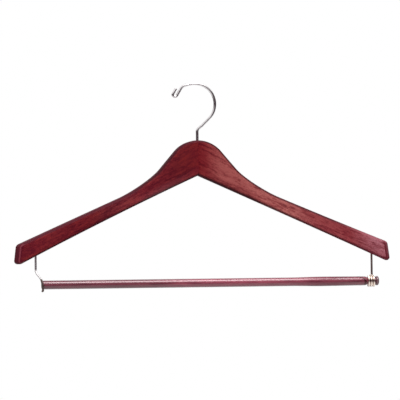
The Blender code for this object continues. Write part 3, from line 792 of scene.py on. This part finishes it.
class Finish(Recipe):
    """The recipe of one material."""

    def __init__(self, name):
        self.material = bpy.data.materials.new(name)
        self.material.use_nodes = True
        super().__init__(self.material.node_tree)
        self.shader = self.tree.nodes["Principled BSDF"]

    def set(self, **values):
        """Fixed values on the shader's own sockets. An underscore stands for a space."""
        for key, value in values.items():
            self.shader.inputs[key.replace("_", " ")].default_value = value

    def feed(self, **sources):
        """Outputs joined to the shader's own sockets. An underscore stands for a space."""
        for key, source in sources.items():
            self.link(source, self.shader.inputs[key.replace("_", " ")])

    def bump(self, height, strength, distance):
        """Fine relief on the surface."""
        node = self.add("ShaderNodeBump")
        node.inputs["Strength"].default_value = strength
        node.inputs["Distance"].default_value = distance
        self.link(height, node.inputs["Height"])
        self.link(node.outputs["Normal"], self.shader.inputs["Normal"])


def darkened(colour, share):
    """A share of a colour's brightness."""
    return tuple(part * share for part in colour)


def open_grain(finish, board, slope):
    """Open grain along the arm: the wood's tone, its fine streaks and its pores."""
    grain = finish.place(board, turn=(0, slope, 0))
    figure = finish.noise(finish.place(grain, scale=(1.0, 7.0, 7.0)), scale=16.0,
                          roughness=0.6, distortion=1.2)
    streaks = finish.noise(finish.place(grain, scale=(1.0, 10.0, 10.0)), scale=55.0,
                           roughness=0.6, distortion=0.8)
    pores = finish.noise(finish.place(grain, scale=(1.0, 8.0, 8.0)), scale=170.0, detail=2.0,
                         distortion=0.3)
    flecks = finish.noise(finish.place(grain, scale=(1.0, 2.5, 2.5)), scale=210.0, detail=3.0,
                          roughness=0.7, distortion=0.5)
    tone = finish.plus(finish.times(figure, FIGURE_SHARE), finish.times(streaks, STREAK_SHARE))
    tone = finish.plus(tone, finish.times(flecks, FLECK_SHARE))
    return tone, streaks, finish.span(pores, *PORE_SPAN)


def painted_end_highlights(finish, colour, reach, depth, dark):
    """Painted highlights on the rounded edges round the arm's end, each with a thin painted dark
    line of shade beside it.
    """
    ends = finish.span(reach, *END_REACH)
    edge = WOOD_THICKNESS / 2
    end_highlight_band = finish.times(finish.span(depth, edge, END_HIGHLIGHT_START),
                          finish.span(depth, END_HIGHLIGHT_END - RIM_STAIN_AND_SHADE_WIDTH, END_HIGHLIGHT_END))
    colour = finish.mix(finish.times(end_highlight_band, ends), colour, END_HIGHLIGHT_COLOUR)
    line = finish.times(finish.span(depth, edge, edge - LINE_CORE * EDGE_LINE),
                        finish.span(depth, END_HIGHLIGHT_START - EDGE_LINE, edge - EDGE_LINE))
    return finish.mix(finish.times(line, ends), colour, dark)


def wood_stain_and_painted_light(name, slope, light, dark, streak, tones, sheen_levels, sheen_colour_stops, under,
                 rim_tones, crest):
    """Mahogany stain on open-grained wood, with the grain along the arm, and painted light, shade
    and sheen.

    The lists run along the arm's reach. Tones are how pale the stain is, partly the stain's own
    unevenness and partly painted light and shade. The sheen levels are how far a painted sheen,
    pale and milky, covers the lacquer. Under is how pale or dark the lower edge is painted, as
    painted light and shade, and rim tones how pale the rim is painted, as painted light and shade.
    The crest is how far the painted sheen covers the upper rim near the arm's end.
    """
    finish = Finish(name)
    board = finish.add("ShaderNodeAttribute", attribute_name=BOARD_PLACE).outputs["Vector"]
    x, y, z = finish.split(board)
    reach = finish.maths("DIVIDE", finish.maths("ABSOLUTE", x), HALF_SPAN)
    depth = finish.maths("ABSOLUTE", y)
    tone, streaks, pore = open_grain(finish, board, slope)
    colour = finish.ramp(tone, [(DARK_TONE, dark), (LIGHT_TONE, light), (STREAK_TONE, streak)])
    # Tones along the arm: partly the stain's own unevenness, partly painted light and shade.
    colour = finish.glaze(colour, finish.levels(reach, tones))

    # The lower edge is painted paler in places and darker in others along the arm, as painted
    # light and shade.
    rise = finish.plus(finish.times(reach, HALF_SPAN * math.tan(UNDERSIDE_ANGLE)),
                       finish.minus(z, underside_z(0)))
    low = finish.span(rise, *UNDER_BAND)
    shade = finish.times(finish.minus(finish.levels(reach, under), UNDER_NEUTRAL), low)
    pale = finish.maths("MAXIMUM", shade, 0.0)
    colour = finish.glaze(colour, finish.plus(finish.times(shade, UNDER_DEPTH), 1.0))

    # A painted sheen, pale and milky, over the lacquer: painted light, strongest on the right arm.
    sheen_amount = finish.times(finish.levels(reach, sheen_levels),
                        finish.span(tone, *SHEEN_GRAIN_SPAN, SHEEN_ON_DARK_GRAIN, 1.0))
    sheen_amount = finish.times(sheen_amount, finish.plus(finish.times(shade, UNDER_SHEEN_SCALE), 1.0))
    sheen_amount = finish.plus(sheen_amount, finish.times(pale, UNDER_SHEEN_ADD))
    sheen_tint = finish.ramp(reach, sheen_colour_stops)
    colour = finish.mix(sheen_amount, colour, sheen_tint)
    colour = finish.mix(finish.times(pore, PORE_COVER), colour, darkened(dark, PORE_SHADE))

    # The rim is darker, partly as pooled stain and partly as painted shade. Its tones along the
    # arm are painted light and shade, its lower part gets painted light, and near the end the
    # upper rim gets a painted sheen.
    rim = finish.span(depth, WOOD_THICKNESS / 2, WOOD_THICKNESS / 2 - RIM_STAIN_AND_SHADE_WIDTH)
    crest_and_rim_sheen = finish.times(finish.span(reach, *CREST_SPAN, 0.0, crest), finish.minus(1.0, low))
    crest_and_rim_sheen = finish.plus(crest_and_rim_sheen, finish.times(pale, RIM_PAINTED_LIGHT))
    rim_stain_shade = finish.glaze(finish.levels(reach, rim_tones), RIM_COLOUR)
    rim_stain_shade = finish.mix(crest_and_rim_sheen, rim_stain_shade, sheen_tint)
    colour = finish.mix(finish.times(rim, RIM_COVER), colour, rim_stain_shade)
    # Painted highlights on the rounded end edges, beside painted dark lines of shade.
    colour = painted_end_highlights(finish, colour, reach, depth, dark)

    glue_line = finish.times(
        finish.span(reach, SEAM_STAIN_HALF / HALF_SPAN, 0.0, 0.0, SEAM_STAIN_COVER),
        finish.span(z, underside_z(0) + SEAM_STAIN_RISE, underside_z(0)))
    colour = finish.mix(glue_line, colour, darkened(dark, SEAM_STAIN_SHADE))

    rough = finish.plus(finish.span(streaks, *STREAK_SPAN, *WOOD_ROUGHNESS),
                        finish.times(rim, RIM_DULLNESS))
    finish.feed(Base_Color=colour, Roughness=rough)
    finish.set(Specular_IOR_Level=WOOD_SHINE)
    finish.bump(finish.minus(finish.times(streaks, STREAK_RELIEF), pore), RELIEF_STRENGTH,
                GRAIN_RELIEF)
    return finish.material


def bright_plate(name, colour, roughness, rubbed_below=None):
    """Plated wire with faint drawing marks and a little tarnish.

    Below a height, where the bar rubs it, the plate is worn down to its darker layer. The crank
    above that, which was bent after plating, is dull, and its pale colour is a painted highlight.
    """
    finish = Finish(name)
    place = finish.coordinates("Object")
    cloud = finish.noise(place, scale=90.0, roughness=0.6)
    bright, tarnished = TARNISH_SPAN
    plate = finish.ramp(cloud, [(bright, colour), (tarnished, darkened(colour, TARNISH_SHADE))])
    fine = finish.noise(place, scale=900.0, detail=3.0, roughness=0.6)
    rough = finish.span(fine, *STREAK_SPAN, *(roughness * share for share in DRAWING_MARKS))
    if rubbed_below is not None:
        height = finish.split(place)["Z"]
        rub = finish.span(height, rubbed_below + BAR_WIRE_RADIUS, rubbed_below)
        plate = finish.mix(rub, plate, RUBBED_PLATE)
        knee = BAR_Z + CATCH_LEG_RISE
        crank = finish.span(height, knee + BAR_WIRE_RADIUS, knee - BAR_WIRE_RADIUS)
        rough = finish.plus(rough, finish.times(crank, CRANK_DULLNESS))
        # The crank's pale plate is a painted highlight.
        plate = finish.mix(finish.times(crank, finish.minus(1.0, rub)), plate, CRANK_PAINTED_HIGHLIGHT)
    finish.feed(Base_Color=plate, Roughness=rough)
    finish.set(Metallic=1.0)
    return finish.material


def painted_shoulder_shade(finish, x, z):
    """Share of the painted shade line round the bar's shoulder, which bends up to the left."""
    high = finish.maths("DIVIDE", finish.plus(z, SHOULDER_LINE_FOOT),
                        BAR_RADIUS + SHOULDER_LINE_FOOT)
    high = finish.maths("POWER", finish.maths("MAXIMUM", high, 0.0), SHOULDER_LINE_CURVE)
    bent = finish.plus(x, finish.times(high, SHOULDER_LINE_BEND))
    off = finish.maths("ABSOLUTE", finish.minus(bent, SHOULDER_X - SHOULDER_LINE_IN))
    return finish.span(off, SHOULDER_LINE_WIDTH, LINE_CORE * SHOULDER_LINE_WIDTH)


def glossy_lacquer(name, light, dark, roughness, worn_with_painted_shade=False):
    """Lacquer over a turned and stained rod, with the grain along it.

    With wear, the bar's coat is dulled to the right. It also has painted light and shade along it,
    darker to the left, and a painted shade line round its shoulder.
    """
    finish = Finish(name)
    axis = finish.place(finish.coordinates("Object"), location=(0, -BAR_Y, -BAR_Z))
    streaks = finish.noise(finish.place(axis, scale=(1.0, 14.0, 14.0)), scale=34.0, detail=5.0,
                           roughness=0.6, distortion=0.3)
    stain = finish.ramp(streaks, list(zip(BAR_GRAIN, (dark, light))))
    if worn_with_painted_shade:
        x, _, z = finish.split(axis)
        share = finish.plus(finish.maths("DIVIDE", x, 2 * HALF_SPAN), 0.5)
        # Painted light and shade along the bar, darker to the left.
        stain = finish.glaze(stain, finish.levels(share, BAR_PAINTED_LIGHT_AND_SHADE))
        # A painted shade line round the shoulder.
        line = painted_shoulder_shade(finish, x, z)
        stain = finish.mix(line, stain, SHOULDER_SHADE_COLOUR)
        patches = finish.noise(finish.place(axis, scale=(1.0, 4.0, 4.0)), scale=70.0,
                               detail=3.0, roughness=0.6)
        dull = finish.times(finish.span(x, *RUBBED_SPAN), finish.span(x, *POLISHED_SPAN, 1.0, 0.0))
        dull = finish.times(dull, finish.span(patches, *PATCH_SPAN, *PATCH_SHARES))
        coat = finish.span(finish.maths("MAXIMUM", dull, line), 0.0, 1.0, 1.0, RUBBED_COAT)
        finish.feed(Coat_Weight=coat)
    else:
        finish.set(Coat_Weight=1.0)
    finish.feed(Base_Color=stain, Roughness=finish.span(streaks, *STREAK_SPAN, roughness,
                                                        roughness * LACQUER_SPREAD))
    finish.set(Specular_Tint=LACQUER_TINT, Coat_Roughness=0.12, Coat_IOR=1.55)
    return finish.material


def bare_beech():
    """Pale dowel wood."""
    finish = Finish("bare_beech")
    grain = finish.noise(finish.place(finish.coordinates("Object"), scale=(1.0, 16.0, 16.0)),
                         scale=60.0, roughness=0.6)
    finish.feed(Base_Color=finish.ramp(grain, [(0.35, (0.42, 0.27, 0.14)),
                                               (0.65, (0.62, 0.45, 0.27))]))
    finish.set(Roughness=0.6)
    return finish.material


def dress_arms():
    """Both arms in their stain. The right one faces the light and is painted paler, partly as
    painted light, under a painted sheen; the left one's colours are darker, partly as painted
    shade.
    """
    left = wood_stain_and_painted_light(
        "left_arm_stain_and_painted_light", UNDERSIDE_ANGLE,
        # Darker than the right arm's colours, partly as painted shade.
        light=(0.141, 0.0055, 0.0118), dark=(0.078, 0.0033, 0.0108),
        streak=(0.200, 0.0105, 0.0118),
        tones=[(0.0, 0.80), (0.06, 0.74), (0.12, 0.76), (0.22, 0.92), (0.33, 1.16),
               (0.42, 1.12), (0.52, 0.9), (0.8, 1.0), (0.9, 1.1)],
        sheen_levels=[(0.0, 0.04), (0.12, 0.03), (0.28, 0.03), (0.4, 0.05), (0.5, 0.03), (0.6, 0.01)],
        sheen_colour_stops=[(0.0, (0.28, 0.09, 0.105)), (1.0, (1.0, 1.0, 1.0))],
        under=[(0.0, 0.75), (0.05, 0.85), (0.13, 0.95), (0.2, 1.0), (0.28, 0.8), (0.36, 0.5),
               (0.5, 0.4), (0.58, 0.25), (0.7, 0.45)],
        rim_tones=[(0.0, 0.9), (0.08, 0.7), (0.15, 0.45), (0.3, 0.5), (0.45, 0.9)],
        crest=0.0)
    right = wood_stain_and_painted_light(
        "right_arm_stain_and_painted_light", -UNDERSIDE_ANGLE,
        # Paler than the left arm's colours, partly as painted light.
        light=(0.180, 0.0078, 0.0142), dark=(0.100, 0.0052, 0.0118),
        streak=(0.235, 0.0205, 0.0235),
        tones=[(0.0, 0.72), (0.06, 0.85), (0.5, 1.0)],
        sheen_levels=[(0.0, 0.0), (0.04, 0.1), (0.12, 0.7), (0.35, 1.0), (0.52, 0.95), (0.64, 0.45),
               (0.80, 0.40), (0.86, 0.75), (0.94, 1.0)],
        sheen_colour_stops=[(0.25, (0.35, 0.094, 0.088)), (0.47, (0.39, 0.112, 0.104)),
                       (0.64, (0.345, 0.092, 0.095)), (0.8, (0.335, 0.088, 0.098)),
                       (0.92, (0.38, 0.13, 0.16))],
        under=[(0.03, 0.5), (0.1, 0.25), (0.18, 0.22), (0.28, 0.12), (0.33, 0.45), (0.38, 0.75),
               (0.55, 0.8), (0.7, 0.8), (0.8, 0.5), (0.88, 0.25)],
        rim_tones=[(0.0, 0.8), (0.06, 0.4), (0.3, 0.5), (0.42, 0.65), (0.7, 0.6), (0.82, 1.1),
                   (0.95, 1.8)],
        crest=0.8)
    make_arms(left, right)


def dress_wires():
    """The hook and the two bar wires, each with its own plate."""
    nickel = bright_plate("bright_nickel", (0.80, 0.765, 0.775), 0.18)
    catch_nickel = bright_plate("catch_nickel", (0.92, 0.88, 0.89), 0.28,
                                rubbed_below=BAR_Z + BAR_RADIUS + BAR_WIRE_RADIUS)
    warm = bright_plate("warm_nickel", (0.97, 0.83, 0.73), 0.16)
    path, shares = hook_path()
    new_piece("plated_hook", draw_wire(path, HOOK_WIRE_RADIUS, shares), nickel, "hook",
              "hook")
    path, shares = catch_path()
    new_piece("plated_catch_wire", draw_wire(path, BAR_WIRE_RADIUS, shares),
              catch_nickel, "shoulders", "left_catch_wire")
    path, shares = coil_path()
    new_piece("plated_coil_wire", draw_wire(path, BAR_WIRE_RADIUS, shares), warm, "coil_wire",
              "right_coil_wire")


def dress_bar():
    """The trouser bar and its darker end knob."""
    bar_lacquer = glossy_lacquer("bar_lacquer", (0.26, 0.053, 0.081), (0.14, 0.026, 0.044), 0.2,
                                 worn_with_painted_shade=True)
    knob_lacquer = glossy_lacquer("knob_lacquer", (0.185, 0.10, 0.11), (0.12, 0.06, 0.068), 0.2)
    new_piece("lacquered_trouser_bar", turn_on_lathe(bar_profile()), bar_lacquer, "bar",
              "trouser_bar")
    new_piece("lacquered_bar_knob", turn_on_lathe(knob_profile()), knob_lacquer, "bar",
              "bar_knob")


def dress_hidden_nodes():
    """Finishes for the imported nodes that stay: the dowels and the nails inside the wood."""
    beech = bare_beech()
    steel = bright_plate("nail_steel", (0.42, 0.42, 0.43), 0.38)
    for node, material in (("joint_dowel_upper", beech), ("joint_dowel_lower", beech),
                           ("hook_pin", steel), ("coil_wire_pin", steel)):
        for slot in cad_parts[node].material_slots:
            slot.material = material


def add_floor():
    """A plain pale floor, well below the hanging object, which fades to white at its rim.

    The camera sees it only from above, so that a camera below it sees the object.
    """
    bm = bmesh.new()
    bmesh.ops.create_circle(bm, cap_ends=True, segments=96, radius=FLOOR_RADIUS,
                            matrix=Matrix.Translation((0, 0, FLOOR_Z)))
    mesh = bpy.data.meshes.new("pale_floor")
    bm.to_mesh(mesh)
    bm.free()
    floor = bpy.data.objects.new("pale_floor", mesh)
    bpy.context.scene.collection.objects.link(floor)
    finish = Finish("pale_floor")
    rays = finish.add("ShaderNodeLightPath").outputs
    away = finish.add("ShaderNodeVectorMath", operation="LENGTH")
    finish.link(finish.place(finish.coordinates("Object"), scale=(1, 1, 0)), away.inputs[0])
    fade = finish.span(away.outputs["Value"], *FLOOR_FADE, FLOOR_GLOW, 1.0)
    glow = finish.times(rays["Is Camera Ray"], fade)
    below = finish.times(rays["Is Camera Ray"],
                         finish.add("ShaderNodeNewGeometry").outputs["Backfacing"])
    finish.feed(Base_Color=finish.mix(rays["Is Diffuse Ray"], FLOOR_COLOUR, FLOOR_BOUNCE),
                Emission_Strength=glow, Alpha=finish.minus(1.0, below))
    finish.set(Roughness=0.9, Emission_Color=(1.0, 1.0, 1.0, 1.0))
    floor.visible_glossy = False
    mesh.materials.append(finish.material)


def add_lamp(name, place, aim, size, power, mirrored):
    """A soft square box that points at a place. Metal shows it only where it is mirrored."""
    data = bpy.data.lights.new(name, "AREA")
    data.shape = "RECTANGLE"
    data.size = size
    data.size_y = size
    data.energy = power
    lamp = bpy.data.objects.new(name, data)
    lamp.location = place
    lamp.visible_glossy = mirrored
    lamp.rotation_euler = (Vector(aim) - Vector(place)).to_track_quat("-Z", "Y").to_euler()
    bpy.context.scene.collection.objects.link(lamp)


def add_lamps():
    """One box overhead, one to the left and one behind the object."""
    add_lamp("overhead_box", place=(0.2, -0.72, 1.05), aim=(0, -0.04, -0.2), size=0.8,
             power=14.0, mirrored=True)
    add_lamp("left_box", place=(-1.2, -1.6, 0.45), aim=(0, 0, -0.15), size=0.9,
             power=27.0, mirrored=False)
    add_lamp("back_box", place=(0.7, 2.0, 0.4), aim=(0, 0, -0.15), size=1.0,
             power=24.0, mirrored=False)


def add_world():
    """A white studio, as the camera sees it.

    Metal and lacquer mirror a bright ceiling, which starts higher on the right, a paler floor,
    and between them a dim belt with a less dim front wall. The room's own light on the object
    comes mostly from above.
    """
    world = bpy.data.worlds.new("studio")
    bpy.context.scene.world = world
    world.use_nodes = True
    world.node_tree.nodes.clear()
    studio = Recipe(world.node_tree)
    x, y, z = studio.split(studio.coordinates("Generated"))
    to_ceiling = studio.minus(z, studio.times(studio.maths("MAXIMUM", x, 0.0), CEILING_LEAN))
    ceiling = studio.span(to_ceiling, *CEILING_SPAN, 0.0, CEILING_BRIGHT)
    to_floor = studio.minus(studio.times(x, -MIRRORED_FLOOR_LEAN), z)
    floor = studio.span(to_floor, *MIRRORED_FLOOR_SPAN, 0.0, MIRRORED_FLOOR_BRIGHT)
    to_front = studio.plus(studio.times(x, FRONT_WAY[0]), studio.times(y, FRONT_WAY[1]))
    belt = studio.mix(studio.span(to_front, *FRONT_SPAN), BELT_COLOUR, FRONT_COLOUR)
    mirrored = studio.mix(studio.plus(ceiling, floor), belt, (1.0, 1.0, 1.0))
    room = studio.span(z, *ROOM_SPAN, ROOM_BELOW, ROOM_ABOVE)

    rays = studio.add("ShaderNodeLightPath").outputs
    shines = studio.maths("MAXIMUM", rays["Is Glossy Ray"], rays["Is Transmission Ray"])
    seen = studio.mix(shines, room, mirrored)
    seen = studio.mix(rays["Is Camera Ray"], seen, (1.0, 1.0, 1.0))
    background = studio.add("ShaderNodeBackground")
    studio.link(seen, background.inputs["Color"])
    out = studio.add("ShaderNodeOutputWorld")
    studio.link(background.outputs[0], out.inputs["Surface"])


def add_camera():
    """The camera at the photograph's viewing angle."""
    data = bpy.data.cameras.new("photo_view")
    data.sensor_width = SENSOR_WIDTH
    data.lens = FOCAL_PIXELS / PHOTO_SIZE * SENSOR_WIDTH
    data.clip_end = 50.0
    camera = bpy.data.objects.new("photo_view", data)
    bpy.context.scene.collection.objects.link(camera)
    turn = (Matrix.Rotation(CAMERA_YAW, 4, "Z")
            @ Matrix.Rotation(math.pi / 2 + CAMERA_PITCH, 4, "X")
            @ Matrix.Rotation(CAMERA_ROLL, 4, "Z"))
    camera.matrix_world = (Matrix.Translation(CAMERA_AIM) @ turn
                           @ Matrix.Translation((0, 0, CAMERA_DISTANCE)))
    bpy.context.scene.camera = camera


dress_arms()
dress_wires()
dress_bar()
dress_hidden_nodes()
add_floor()
add_world()
add_lamps()
add_camera()
bpy.context.scene.view_settings.view_transform = "Standard"
